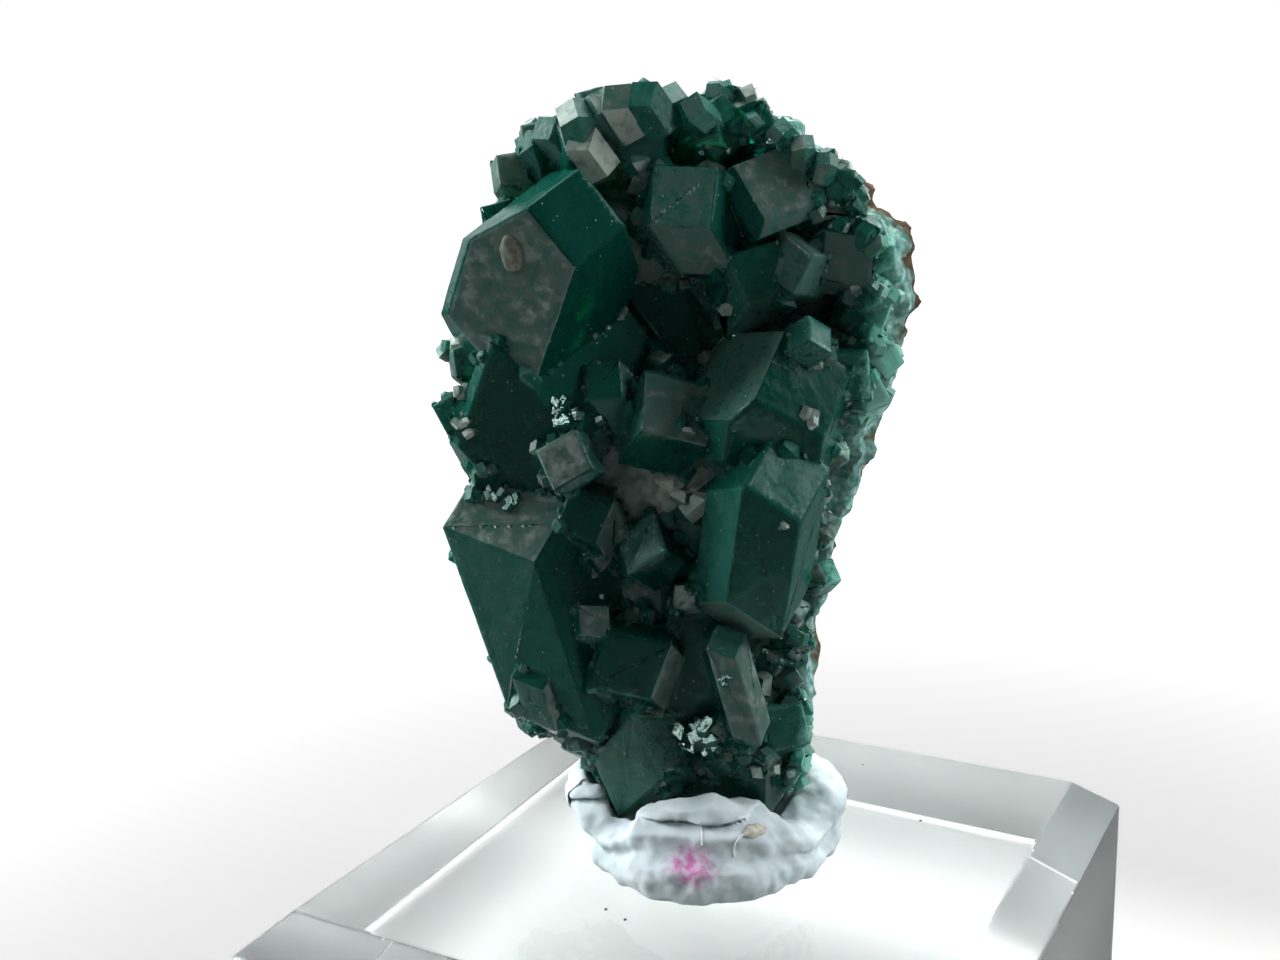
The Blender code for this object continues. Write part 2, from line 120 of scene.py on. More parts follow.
bpy.ops.object.select_all(action="DESELECT")
bpy.ops.mesh.primitive_plane_add(size=FLOOR_SIZE, location=(0.0, 0.0, -FLOOR_DROP))
tent_floor = bpy.context.object
tent_floor.name = "tent_floor"
floor_paper, tree, shader = new_finish("floor_paper")
floor_paper.cycles.emission_sampling = "NONE"
feed(shader.inputs["Roughness"], 0.7)
feed(shader.inputs["Emission Color"], WHITE)
place = tree.nodes.new("ShaderNodeTexCoord").outputs["Object"]
path = tree.nodes.new("ShaderNodeLightPath")
from_middle = tree.nodes.new("ShaderNodeVectorMath")
from_middle.operation = "LENGTH"
feed(from_middle.inputs[0], place)
glow = stretched(tree, from_middle.outputs["Value"], GLOW_REACH, GLOW_STRENGTH, "SMOOTHSTEP")
seen_glow = worked_out(tree, "MULTIPLY", glow, path.outputs["Is Camera Ray"])
feed(shader.inputs["Emission Strength"], seen_glow)
either_side = tree.nodes.new("ShaderNodeVectorMath")
either_side.operation = "ABSOLUTE"
feed(either_side.inputs[0], place)
each_way = tree.nodes.new("ShaderNodeSeparateXYZ")
feed(each_way.inputs[0], either_side.outputs[0])
furthest = worked_out(tree, "MAXIMUM", each_way.outputs["X"], each_way.outputs["Y"])
# Painted light: the floor's colour is paler under the block, making up for the lamplight that comes
# through the clear acrylic, and darker round it.
outside_painted_light = stretched(tree, furthest, PAINTED_LIGHT_UNDER_BLOCK_REACH, kind="SMOOTHSTEP")
floor_tone_with_painted_light = painted(tree, outside_painted_light, FLOOR_PAINTED_LIGHT_UNDER_BLOCK, FLOOR_ROUND_BLOCK)
# Painted shade: where shiny faces mirror the floor, its colour is near black, standing in for the shade
# that the camera casts on the floor in front.
painted_shade_in_mirrors = worked_out(
    tree, "MULTIPLY", path.outputs["Is Glossy Ray"], path.outputs["Is Reflection Ray"])
feed(shader.inputs["Base Color"], painted(tree, painted_shade_in_mirrors, floor_tone_with_painted_light, FLOOR_PAINTED_SHADE_IN_MIRRORS))
tent_floor.data.materials.append(floor_paper)

tent = bpy.data.worlds.new("white_tent")
scene.world = tent
tent.use_nodes = True
tree = tent.node_tree
walls = tree.nodes["Background"]
feed(walls.inputs["Color"], TENT_WHITE)
opening = far_along(tree, tree.nodes.new("ShaderNodeTexCoord").outputs["Generated"], TOWARDS_CAMERA)
feed(walls.inputs["Strength"], stretched(tree, opening, OPENING_REACH, OPENING_STRENGTH, "SMOOTHSTEP"))
backdrop = tree.nodes.new("ShaderNodeBackground")
feed(backdrop.inputs["Color"], WHITE)
path = tree.nodes.new("ShaderNodeLightPath")
shown = tree.nodes.new("ShaderNodeMixShader")
feed(shown.inputs[0], path.outputs["Is Camera Ray"])
feed(shown.inputs[1], walls.outputs[0])
feed(shown.inputs[2], backdrop.outputs[0])
feed(tree.nodes["World Output"].inputs["Surface"], shown.outputs[0])

SPECIMEN_MIDDLE = (0.0, 0.0, 0.035)
UPPER_CRYSTALS = (0.0, 0.0, 0.04)


def soft_light(name, place, target, size, power, glints=False):
    """A round lamp turned to the target. Only one that glints is mirrored in the shiny faces."""
    lamp = bpy.data.lights.new(name, "AREA")
    lamp.shape = "DISK"
    lamp.size = size
    lamp.energy = power
    holder = bpy.data.objects.new(name, lamp)
    holder.location = place
    holder.rotation_euler = (Vector(target) - Vector(place)).to_track_quat("-Z", "Y").to_euler()
    holder.visible_glossy = glints
    scene.collection.objects.link(holder)
    return holder


soft_light("light_over", (-0.05, 0.09, 0.22), SPECIMEN_MIDDLE, size=0.20, power=1.4)
soft_light("light_left", (-0.17, -0.06, 0.12), SPECIMEN_MIDDLE, size=0.12, power=0.78)
soft_light("light_right", (0.14, 0.06, 0.10), SPECIMEN_MIDDLE, size=0.10, power=0.30)
light_glint = soft_light(
    "light_glint", (-0.06, -0.16, 0.16), UPPER_CRYSTALS, size=0.035, power=0.055, glints=True)

VIEW_TURN = math.radians(29.34)
VIEW_TILT = math.radians(-13.51)
VIEW_ROLL = math.radians(-1.78)
camera = bpy.data.objects.new("camera", bpy.data.cameras.new("camera"))
camera.data.sensor_width = 36.0
camera.data.lens = 41.73
camera.data.clip_start = 0.002
camera.location = (0.03517, -0.0696, 0.05517)
camera.rotation_euler = (
    Matrix.Rotation(VIEW_TURN, 3, "Z")
    @ Matrix.Rotation(math.radians(90.0) + VIEW_TILT, 3, "X")
    @ Matrix.Rotation(VIEW_ROLL, 3, "Z")).to_euler()
scene.collection.objects.link(camera)
scene.camera = camera

# The display block: one square piece of clear cast acrylic, sawn, with its upper edges milled to a
# slope. Every face is polished but the underside, which is satin; the edges have a fine round.
BLOCK_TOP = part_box("display_block")[1].z
EDGE_ROUND = 0.00012
BLOCK_EDGES = math.radians(20.0)
SATIN_HEIGHT = (0.0001, 0.0002)
SATIN_ROUGHNESS = (0.28, 0.0)
SMUDGE_SHARE = (0.58, 0.75)
SMUDGE_ROUGHNESS = (0.0, 0.12)
ONE_SPOT = 1e-6
ONE_FACE = math.radians(0.5)


def make_active(piece):
    bpy.ops.object.select_all(action="DESELECT")
    piece.select_set(True)
    bpy.context.view_layer.objects.active = piece


def copy_of_node(name, node):
    """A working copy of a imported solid, with its loose triangles merged into facets."""
    piece = bpy.data.objects.new(name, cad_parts[node].data.copy())
    piece.data.materials.clear()
    scene.collection.objects.link(piece)
    make_active(piece)
    bpy.ops.object.mode_set(mode="EDIT")
    bpy.ops.mesh.select_all(action="SELECT")
    bpy.ops.mesh.remove_doubles(threshold=ONE_SPOT)
    bpy.ops.mesh.dissolve_limited(angle_limit=ONE_FACE)
    bpy.ops.mesh.faces_shade_flat()
    bpy.ops.object.mode_set(mode="OBJECT")
    return piece


def bevel_edges(piece, width, segments, angle):
    """Rounds the edges of a piece that are sharper than the angle."""
    rounding = piece.modifiers.new("round_edges", "BEVEL")
    rounding.width = width
    rounding.segments = segments
    rounding.limit_method = "ANGLE"
    rounding.angle_limit = angle
    return rounding


def apply_modifiers(piece):
    make_active(piece)
    for modifier in list(piece.modifiers):
        bpy.ops.object.modifier_apply(modifier=modifier.name)


def cloud(tree, place, scale, detail=2.0, roughness=0.5):
    """A cloudy pattern from 0 to 1, its scale in clouds to a unit of the place."""
    node = tree.nodes.new("ShaderNodeTexNoise")
    feed(node.inputs["Vector"], place)
    feed(node.inputs["Scale"], scale)
    feed(node.inputs["Detail"], detail)
    feed(node.inputs["Roughness"], roughness)
    return node.outputs[0]


def soak(tree, colour, density):
    """Colours the light that goes through a piece, more the deeper it goes."""
    absorption = tree.nodes.new("ShaderNodeVolumeAbsorption")
    feed(absorption.inputs["Color"], colour)
    feed(absorption.inputs["Density"], density)
    feed(tree.nodes["Material Output"].inputs["Volume"], absorption.outputs[0])


block = copy_of_node("clear_block", "display_block")
bevel_edges(block, EDGE_ROUND, 2, BLOCK_EDGES)
apply_modifiers(block)

clear_acrylic, tree, shader = new_finish("clear_acrylic")
feed(shader.inputs["Base Color"], (0.985, 1.0, 0.995))
feed(shader.inputs["Transmission Weight"], 1.0)
feed(shader.inputs["IOR"], 1.49)
place = tree.nodes.new("ShaderNodeTexCoord").outputs["Object"]
smudges = stretched(tree, cloud(tree, place, 160.0, 4.0), SMUDGE_SHARE, SMUDGE_ROUGHNESS)
height = tree.nodes.new("ShaderNodeSeparateXYZ")
feed(height.inputs[0], place)
satin = stretched(tree, height.outputs["Z"], SATIN_HEIGHT, SATIN_ROUGHNESS)
feed(shader.inputs["Roughness"], worked_out(tree, "MAXIMUM", smudges, satin))
soak(tree, (0.84, 0.92, 0.895), 10.0)
block.data.materials.append(clear_acrylic)
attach(block, "root")
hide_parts("display_block")

# The matrix: brown iron-stained rock, broken off at the back and rounded into nodules at the rim,
# with a blue-green copper mineral rind where the crystals grow on it.
SPECIMEN_TURN = math.radians(29.3)
ROCK_CELL = 0.00032
ROCK_SHARP_EDGE = math.radians(38.0)
CONTACT_LEAN = (0.2, 1.0, 0.0)
CONTACT_RAGGED = 4.0
RIND_REACH = (4.2, 4.8)


def even_mesh(piece, cell):
    """Lays an even mesh over a piece, of cells of the given size."""
    remesh = piece.modifiers.new("even_mesh", "REMESH")
    remesh.mode = "VOXEL"
    remesh.voxel_size = cell


def roughen(piece, name, kind, size, strength, middle=0.5):
    """Pushes the surface out and in by a procedural pattern of the given size, in metres."""
    pattern = bpy.data.textures.new(name, kind)
    pattern.noise_scale = size
    push = piece.modifiers.new(name, "DISPLACE")
    push.texture = pattern
    push.texture_coords = "LOCAL"
    push.strength = strength
    push.mid_level = middle
    return pattern


def in_millimetres(tree, foot=0.0):
    """Places in millimetres along the specimen's width, depth and height, this from the foot up."""
    turned = tree.nodes.new("ShaderNodeMapping")
    feed(turned.inputs["Vector"], tree.nodes.new("ShaderNodeTexCoord").outputs["Object"])
    feed(turned.inputs["Location"], (0.0, 0.0, -1000.0 * foot))
    feed(turned.inputs["Rotation"], (0.0, 0.0, -SPECIMEN_TURN))
    feed(turned.inputs["Scale"], (1000.0, 1000.0, 1000.0))
    return turned.outputs[0]


def colour_scale(tree, value, *stops):
    """A colour for each value, through stops of a value and a colour in rising order."""
    node = tree.nodes.new("ShaderNodeValToRGB")
    feed(node.inputs[0], value)
    ends = node.color_ramp.elements
    for element, (position, colour) in zip((ends[0], ends[1]), (stops[0], stops[-1])):
        element.position = position
        element.color = (*colour, 1.0)
    for position, colour in stops[1:-1]:
        ends.new(position).color = (*colour, 1.0)
    return node.outputs[0]


def tip_surface(tree, pattern, strength, depth):
    """Shades a surface as if the pattern were cut into it, to a depth in metres."""
    bump = tree.nodes.new("ShaderNodeBump")
    feed(bump.inputs["Height"], pattern)
    feed(bump.inputs["Strength"], strength)
    feed(bump.inputs["Distance"], depth)
    feed(tree.nodes["Principled BSDF"].inputs["Normal"], bump.outputs[0])


matrix = copy_of_node("matrix_rock_surface", "matrix_rock")
even_mesh(matrix, ROCK_CELL)
apply_modifiers(matrix)
roughen(matrix, "rock_lumps", "CLOUDS", 0.0022, 0.0011, 0.42)
roughen(matrix, "rock_knobs", "VORONOI", 0.0016, -0.0007, 0.35)
roughen(matrix, "rock_grain", "CLOUDS", 0.0005, 0.0003)
apply_modifiers(matrix)
bpy.ops.object.shade_smooth_by_angle(angle=ROCK_SHARP_EDGE)

rock, tree, shader = new_finish("brown_rock_with_green_rind")
feed(shader.inputs["Roughness"], 0.85)
place = in_millimetres(tree)
blotches = cloud(tree, place, 0.45, 4.0, 0.65)
brown = colour_scale(
    tree, blotches,
    (0.3, (0.016, 0.013, 0.009)), (0.5, (0.055, 0.040, 0.025)), (0.72, (0.13, 0.095, 0.058)))
depth = worked_out(tree, "MULTIPLY_ADD", blotches, CONTACT_RAGGED, far_along(tree, place, CONTACT_LEAN))
fine = cloud(tree, place, 2.2, 3.0)
rind = colour_scale(tree, fine, (0.35, (0.045, 0.20, 0.165)), (0.68, (0.34, 0.53, 0.49)))
rind_share = stretched(tree, depth, RIND_REACH, (1.0, 0.0))
feed(shader.inputs["Base Color"], painted(tree, rind_share, brown, rind))
tip_surface(tree, fine, 0.5, 0.00015)
matrix.data.materials.append(rock)
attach(matrix, "root")
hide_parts("matrix_rock")

# The dioptase: one intergrown body of deep green crystals. Some faces are bright, some etched and
# frosted grey, their grey partly a painted sheen, and the thin edges let through blue-green light.
to_row = (
    Matrix.Translation((0.0, 0.0, BLOCK_TOP))
    @ Matrix.Rotation(SPECIMEN_TURN, 4, "Z")
    @ Matrix.Scale(0.001, 4))
INTO_DEPTH = to_row.to_3x3().col[1].normalized()
from_row = to_row.inverted()
crystals = copy_of_node("dioptase_body", "dioptase_crystals")
bpy.ops.object.mode_set(mode="EDIT")
bpy.ops.mesh.select_all(action="SELECT")
bpy.ops.mesh.dissolve_limited(angle_limit=2.0 * ONE_FACE)
bpy.ops.object.mode_set(mode="OBJECT")

# How frosted each facet is, which also sets how much painted grey sheen its colour carries: a seeded
# value for each, then the faces that the photograph shows plainly, each found from the camera
# through a point in millimetres right of and above the foot.
CLEAREST, FROSTIEST = 0.08, 0.70
FROST_AND_SHEEN_FACES = [
    (-10.4, 33.5, 0.66),
    (-7.2, 33.9, 0.62),
    (-5.3, 30.2, 0.02),
    (-9.2, 37.0, 0.55),
    (-10.8, 26.1, 0.04),
    (-11.1, 18.9, 0.62),
    (-11.9, 14.3, 0.36),
    (-8.3, 9.5, 0.75),
    (-7.8, 10.0, 0.80),
    (-8.9, 8.8, 0.70),
    (2.3, 24.6, 0.06),
    (3.6, 28.6, 0.12),
    (2.0, 27.8, 0.50),
    (5.0, 27.0, 0.05),
    (3.6, 22.4, 0.05),
    (5.2, 21.0, 0.10),
    (2.5, 17.9, 0.12),
    (0.4, 16.8, 0.30),
    (6.0, 16.1, 0.60),
    (6.5, 21.7, 0.18),
    (-1.2, 36.8, 0.48),
    (-0.5, 33.9, 0.60),
    (-5.5, 39.7, 0.88),
    (-2.9, 39.8, 0.30),
    (-7.5, 22.8, 0.70),
    (-6.2, 13.3, 0.66),
    (-0.8, 20.8, 0.85),
    (-5.1, 4.0, 0.35),
    (-3.7, 11.7, 0.06),
    (1.7, 2.5, 0.06),
    (-3.1, 16.4, 0.05),
    (-9.3, 12.5, 0.20),
    (-0.5, 31.1, 0.02),
    (0.2, 40.7, 0.25),
    (6.8, 30.8, 0.55),
]
frost_and_sheen = crystals.data.attributes.new("frost_and_sheen", "FLOAT", "FACE")
chance = random.Random(7)
for facet in crystals.data.polygons:
    frost_and_sheen.data[facet.index].value = CLEAREST + (FROSTIEST - CLEAREST) * chance.random() ** 2


def seen_on(piece, right, up, depth=0.0):
    """The spot, normal and facet that the camera sees through a point right of and above the foot.

    The depth is how far behind the foot the point lies. The facet is -1 where nothing is seen.
    """
    through = to_row @ Vector((right, depth, up))
    towards = (through - camera.location).normalized()
    hit, spot, normal, facet = piece.ray_cast(camera.location, towards)
    return spot, normal, facet


bpy.context.view_layer.update()
for right, up, value in FROST_AND_SHEEN_FACES:
    frost_and_sheen.data[seen_on(crystals, right, up)[2]].value = value

# The druse: hundreds of small crystals that crowd the hollows between the large ones and the rim.
# One is cut from a six-sided prism, with three end faces that lean over every second edge.
PRISM_RADIUS = 0.577
PRISM_LENGTH = 4.0
PRISM_MIDDLE = (0.0, 0.0, -1.0)
TIP = (0.0, 0.0, 0.9)
ROOT = (0.0, 0.0, -0.9)
DOWN = (0.0, 0.0, -1.0)
END_FACE_TILT = math.radians(50.9)
FROST_SPREAD = (0.5, 1.5)
bpy.ops.object.select_all(action="DESELECT")
bpy.ops.mesh.primitive_cylinder_add(
    vertices=6, radius=PRISM_RADIUS, depth=PRISM_LENGTH, location=PRISM_MIDDLE)
small_crystal = bpy.context.object
small_crystal.name = "small_crystal"
bpy.ops.object.transform_apply(location=True, rotation=False, scale=False)
bpy.ops.object.mode_set(mode="EDIT")
for lean in (math.radians(90.0), math.radians(210.0), math.radians(330.0)):
    end_face = (
        math.cos(lean) * math.sin(END_FACE_TILT),
        math.sin(lean) * math.sin(END_FACE_TILT),
        math.cos(END_FACE_TILT))
    bpy.ops.mesh.select_all(action="SELECT")
    bpy.ops.mesh.bisect(plane_co=TIP, plane_no=end_face, use_fill=True, clear_outer=True)
bpy.ops.mesh.select_all(action="SELECT")
bpy.ops.mesh.bisect(plane_co=ROOT, plane_no=DOWN, use_fill=True, clear_outer=True)
bpy.ops.mesh.select_all(action="SELECT")
bpy.ops.mesh.normals_make_consistent(inside=False)
bpy.ops.object.mode_set(mode="OBJECT")
small_crystal.data.attributes.new("frost_and_sheen", "FLOAT", "FACE")
grown = []


def grow_small_crystal(foot, axis, turn, width, length, value):
    """Places one small crystal, its middle at the foot point, all in metres."""
    shaped = small_crystal.data.copy()
    upright = axis.to_track_quat("Z", "Y").to_matrix().to_4x4()
    shaped.transform(
        Matrix.Translation(foot) @ upright @ Matrix.Rotation(turn, 4, "Z")
        @ Matrix.Diagonal((width, width, length, 1.0)))
    for entry in shaped.attributes["frost_and_sheen"].data:
        entry.value = min(1.0, value * chance.uniform(*FROST_SPREAD))
    piece = bpy.data.objects.new("small_crystal", shaped)
    scene.collection.objects.link(piece)
    grown.append(piece)


DRUSE_SPACING = 0.00062
DRUSE_LEFT_OUT = 0.25
DRUSE_WIDTHS = (0.00024, 0.00105)
MOSTLY_SMALL = 2.4
DRUSE_LENGTH = 0.6
LENGTH_SPREAD = (0.8, 1.6)
DRUSE_STRAY = 0.8
DRUSE_FROST = (0.08, 0.65)
HOLLOW_BEND = 0.30
HOLLOW_FACES_AWAY = 0.6
RIM_BEND = 0.1
RIM_FACES_AWAY = (0.5, 0.75)
RIM_LEAN = 0.5
PALE_RIM = (0.65, 1.0)
PALE_RIM_FROM = 4.0
facet_beside = {}
for facet in crystals.data.polygons:
    corners = list(facet.vertices)
    for start, end in zip(corners, corners[1:] + corners[:1]):
        facet_beside[start, end] = facet
for (start, end), facet in facet_beside.items():
    other = facet_beside.get((end, start))
    if other is None or start > end:
        continue
    foot = crystals.data.vertices[start].co
    along = crystals.data.vertices[end].co - foot
    bend = facet.normal.cross(other.normal).dot(along.normalized())
    least, most = sorted(face.normal.dot(INTO_DEPTH) for face in (facet, other))
    in_hollow = bend < -HOLLOW_BEND and most < HOLLOW_FACES_AWAY
    on_rim = bend > RIM_BEND and least < RIM_FACES_AWAY[0] and most > RIM_FACES_AWAY[1]
    if not in_hollow and not on_rim:
        continue
    for step in range(int(along.length / DRUSE_SPACING + chance.random())):
        if chance.random() < DRUSE_LEFT_OUT:
            continue
        spot = foot + along * chance.random()
        out = (facet.normal + other.normal).normalized()
        if on_rim:
            out = (out - INTO_DEPTH * out.dot(INTO_DEPTH)).normalized() - RIM_LEAN * INTO_DEPTH
        stray = Vector((chance.uniform(-1.0, 1.0), chance.uniform(-1.0, 1.0), chance.uniform(-1.0, 1.0)))
        axis = (out + DRUSE_STRAY * stray).normalized()
        width = DRUSE_WIDTHS[0] + (DRUSE_WIDTHS[1] - DRUSE_WIDTHS[0]) * chance.random() ** MOSTLY_SMALL
        on_pale_rim = on_rim and (from_row @ spot).x > PALE_RIM_FROM
        grow_small_crystal(
            spot, axis, chance.uniform(0.0, math.pi), width,
            DRUSE_LENGTH * width * chance.uniform(*LENGTH_SPREAD),
            chance.uniform(*PALE_RIM if on_pale_rim else DRUSE_FROST))

# The crest: middle-sized crystals that close the rounded top of the cluster. Each line: right of
# and above the foot, size in millimetres and how frosted, which also sets their painted sheen.
CREST = [
    (-8.3, 39.5, 1.7, 0.35),
    (-7.2, 40.3, 1.8, 0.50),
    (-6.0, 40.9, 1.9, 0.60),
    (-5.6, 39.6, 1.9, 1.00),
    (-4.8, 41.3, 1.9, 0.65),
    (-3.9, 41.6, 2.0, 0.90),
    (-2.4, 41.7, 2.0, 0.20),
    (-1.2, 41.5, 1.8, 0.35),
    (-0.1, 41.1, 1.6, 0.35),
    (4.4, 39.8, 1.2, 0.45),
    (5.4, 39.0, 1.2, 0.45),
    (6.6, 38.1, 1.1, 0.45),
]
CREST_ROOT = 1.7
CREST_SUNK = 0.35
STUBBY = 0.8
for right, up, size, value in CREST:
    spot, normal, facet = seen_on(crystals, right, up - CREST_ROOT)
    if facet < 0:
        continue
    spot.z += 0.001 * (CREST_ROOT - CREST_SUNK * size)
    axis = Vector((chance.uniform(-0.5, 0.5), chance.uniform(-0.9, -0.2), chance.uniform(0.3, 1.0)))
    width = 0.001 * size
    grow_small_crystal(
        spot, axis.normalized(), chance.uniform(0.0, math.pi), width, STUBBY * width, value)

# The flakes: a few small faces that stand at the angle that sends lamplight to the camera, some
# bright and some frosted pale, the pale ones with a painted sheen. Each line: right and up, spread,
# count and how frosted, which also sets the painted sheen.
FLAKES = [
    (-7.3, 25.3, 1.1, 12, 0.06),
    (-7.0, 24.6, 0.8, 7, 0.30),
    (-0.9, 6.5, 1.6, 14, 0.06),
    (0.0, 6.0, 1.0, 8, 0.25),
    (-11.3, 20.8, 0.7, 12, 0.35),
    (-10.4, 20.4, 0.6, 8, 0.35),
    (-1.0, 20.9, 2.2, 3, 1.00),
    (5.6, 24.5, 0.9, 5, 0.95),
    (6.8, 20.6, 0.7, 4, 0.90),
    (4.4, 18.5, 0.5, 3, 0.90),
    (-12.8, 26.5, 0.8, 5, 0.90),
    (-12.7, 24.6, 0.8, 5, 0.95),
    (-5.5, 39.7, 1.2, 5, 0.95),
    (1.0, 9.8, 0.5, 4, 0.20),
    (4.0, 10.9, 0.5, 4, 0.20),
]
FLAKE_SIZES = (0.3, 0.7)
FLAKE_TURN = 0.03
for right, up, size, count, value in FLAKES:
    for number in range(count):
        spread = 0.5 * size
        spot, normal, facet = seen_on(
            crystals, right + chance.uniform(-spread, spread), up + chance.uniform(-spread, spread))
        if facet < 0:
            continue
        mirror = (
            (light_glint.location - spot).normalized()
            + (camera.location - spot).normalized()).normalized()
        axis = mirror.orthogonal().normalized()
        axis.rotate(Matrix.Rotation(chance.uniform(0.0, math.pi), 3, mirror))
        width = 0.001 * size * chance.uniform(*FLAKE_SIZES)
        side = axis.to_track_quat("Z", "Y").to_matrix().transposed() @ mirror
        turn = math.atan2(side.y, side.x) + chance.uniform(-FLAKE_TURN, FLAKE_TURN)
        grow_small_crystal(spot, axis, turn, width, STUBBY * width, value)


def join_pieces(pieces, name):
    """Joins the pieces into the first of them, under a new name."""
    make_active(pieces[0])
    for piece in pieces:
        piece.select_set(True)
    bpy.ops.object.join()
    pieces[0].name = name
    return pieces[0]


druse = join_pieces(grown, "dioptase_druse")
bpy.data.objects.remove(small_crystal)

# The large crystals keep a worn edge, and their faces the low blocks and dimples of growth. Long
# edges are halved until the faces are fine enough to carry them.
WORN_WIDTH = 0.00007
WORN_EDGES = math.radians(25.0)
FINE_EDGE = 0.00042
HALVINGS = 5
CRYSTAL_SHARP_EDGE = math.radians(16.0)
worn_edges = bevel_edges(crystals, WORN_WIDTH, 1, WORN_EDGES)
worn_edges.use_clamp_overlap = False
apply_modifiers(crystals)
mesh = crystals.data
bpy.ops.object.mode_set(mode="EDIT")
bpy.ops.mesh.select_mode(type="EDGE")
bpy.ops.mesh.select_all(action="SELECT")
bpy.ops.mesh.quads_convert_to_tris(quad_method="BEAUTY", ngon_method="BEAUTY")
bpy.ops.object.mode_set(mode="OBJECT")
for halving in range(HALVINGS):
    long_edges = []
    for edge in mesh.edges:
        first, last = (mesh.vertices[corner].co for corner in edge.vertices)
        long_edges.append((first - last).length > FINE_EDGE)
    bpy.ops.object.mode_set(mode="EDIT")
    bpy.ops.mesh.select_all(action="DESELECT")
    bpy.ops.object.mode_set(mode="OBJECT")
    mesh.edges.foreach_set("select", long_edges)
    bpy.ops.object.mode_set(mode="EDIT")
    bpy.ops.mesh.subdivide(number_cuts=1)
    bpy.ops.mesh.select_all(action="SELECT")
    bpy.ops.mesh.quads_convert_to_tris(quad_method="SHORTEST_DIAGONAL", ngon_method="BEAUTY")
    bpy.ops.mesh.beautify_fill(angle_limit=ONE_FACE)
    bpy.ops.object.mode_set(mode="OBJECT")
bpy.ops.object.mode_set(mode="EDIT")
bpy.ops.mesh.select_mode(type="VERT")
bpy.ops.object.mode_set(mode="OBJECT")
growth_blocks = roughen(crystals, "growth_blocks", "VORONOI", 0.0017, 0.00007)
growth_blocks.distance_metric = "CHEBYCHEV"
roughen(crystals, "growth_dimples", "CLOUDS", 0.0007, 0.00003)
apply_modifiers(crystals)
bpy.ops.object.shade_smooth_by_angle(angle=CRYSTAL_SHARP_EDGE)

# The green of both: clear and deep where a face is bright, grey-green where it is frosted, that grey
# also a painted sheen, paler in a band down the right rim, with dots of dust, and a fine etched grain
# over all.
PATCH_SHARE = (0.33, 0.67)
PATCH_FROST = (0.76, 1.30)
ALL_FROST = (0.0, 1.0)
FACE_ROUGHNESS = (0.05, 0.55)
FACE_CLEARNESS = (0.94, 0.25)
RIM_SLANT = (1.0, 0.0, -0.155)
RIM_RAGGED = 2.4
RIM_REACH = (2.3, 3.4)
RIM_COVER = (0.0, 0.8)
RIM_GREEN = (0.17, 0.39, 0.32)
DUST_REACH = (0.045, 0.085)
DUST_COVER = (0.75, 0.0)
DUST_GREY = (0.42, 0.50, 0.46)
dioptase, tree, shader = new_finish("dioptase_green")
feed(shader.inputs["IOR"], 1.66)
feed(shader.inputs["Specular IOR Level"], 0.25)
feed(shader.inputs["Specular Tint"], (0.50, 0.68, 0.62))
place = in_millimetres(tree)
facet_frost_and_sheen = tree.nodes.new("ShaderNodeAttribute")
facet_frost_and_sheen.attribute_name = "frost_and_sheen"
patches = cloud(tree, place, 1.5, 4.0, 0.65)
patch_frost = stretched(tree, patches, PATCH_SHARE, PATCH_FROST)
frost_and_sheen_share = worked_out(tree, "MULTIPLY", facet_frost_and_sheen.outputs["Fac"], patch_frost, clamp=True)
feed(shader.inputs["Roughness"], stretched(tree, frost_and_sheen_share, ALL_FROST, FACE_ROUGHNESS))
# Painted sheen: the frosted end of this scale is a pale grey that stands for light sheening off the faces
# as well as for the frosting.
body_colour_with_painted_sheen = colour_scale(
    tree, frost_and_sheen_share,
    (0.0, (0.008, 0.36, 0.26)), (0.30, (0.045, 0.30, 0.235)),
    (0.65, (0.135, 0.225, 0.190)), (1.0, (0.46, 0.53, 0.49)))
rim_depth = worked_out(tree, "MULTIPLY_ADD", patches, RIM_RAGGED, far_along(tree, place, RIM_SLANT))
rim_share = stretched(tree, rim_depth, RIM_REACH, RIM_COVER)
dust = tree.nodes.new("ShaderNodeTexVoronoi")
feed(dust.inputs["Vector"], place)
feed(dust.inputs["Scale"], 1.7)
dust_share = stretched(tree, dust.outputs["Distance"], DUST_REACH, DUST_COVER)
rim_colour = painted(tree, rim_share, body_colour_with_painted_sheen, RIM_GREEN)
feed(shader.inputs["Base Color"], painted(tree, dust_share, rim_colour, DUST_GREY))
clearness = stretched(tree, frost_and_sheen_share, ALL_FROST, FACE_CLEARNESS)
covered = worked_out(tree, "MAXIMUM", rim_share, dust_share)
feed(shader.inputs["Transmission Weight"], worked_out(tree, "SUBTRACT", clearness, covered, clamp=True))
tip_surface(tree, cloud(tree, place, 3.6, 3.0), 0.60, 0.00004)
soak(tree, (0.02, 0.66, 0.52), 1500.0)
for growth in (crystals, druse):
    growth.data.materials.clear()
    growth.data.materials.append(dioptase)
    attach(growth, "root")
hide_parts("dioptase_crystals")

# The mounting putty: soft pale blue-grey tack, pressed up round the foot by hand, so it has folds,
# dents and finger marks. It has a pink smear and a tan stain on its front.
PUTTY_CELL = 0.00014
FOLD_LINE = [(-9.0, 3.0), (-6.7, 3.5), (-2.7, 3.75), (0.1, 3.7), (3.5, 3.95), (6.7, 4.4), (9.0, 4.8)]
FOLD_DEPTH = 0.75
FOLD_WIDTH = 0.20
FOLD_STEP = 0.25
FOLD_BEFORE = -1.0
FLARE_HEIGHT = 0.0012
FLARE_DROP = 0.0003
SMEAR_SHARE = (0.14, 0.42)
SMEAR_PINK = (0.44, 0.15, 0.35)
STAIN_TAN = (0.40, 0.33, 0.24)
putty = copy_of_node("putty_lump", "mounting_putty")
even_mesh(putty, PUTTY_CELL)
soften = putty.modifiers.new("soft", "SMOOTH")
soften.factor = 0.6
soften.iterations = 6
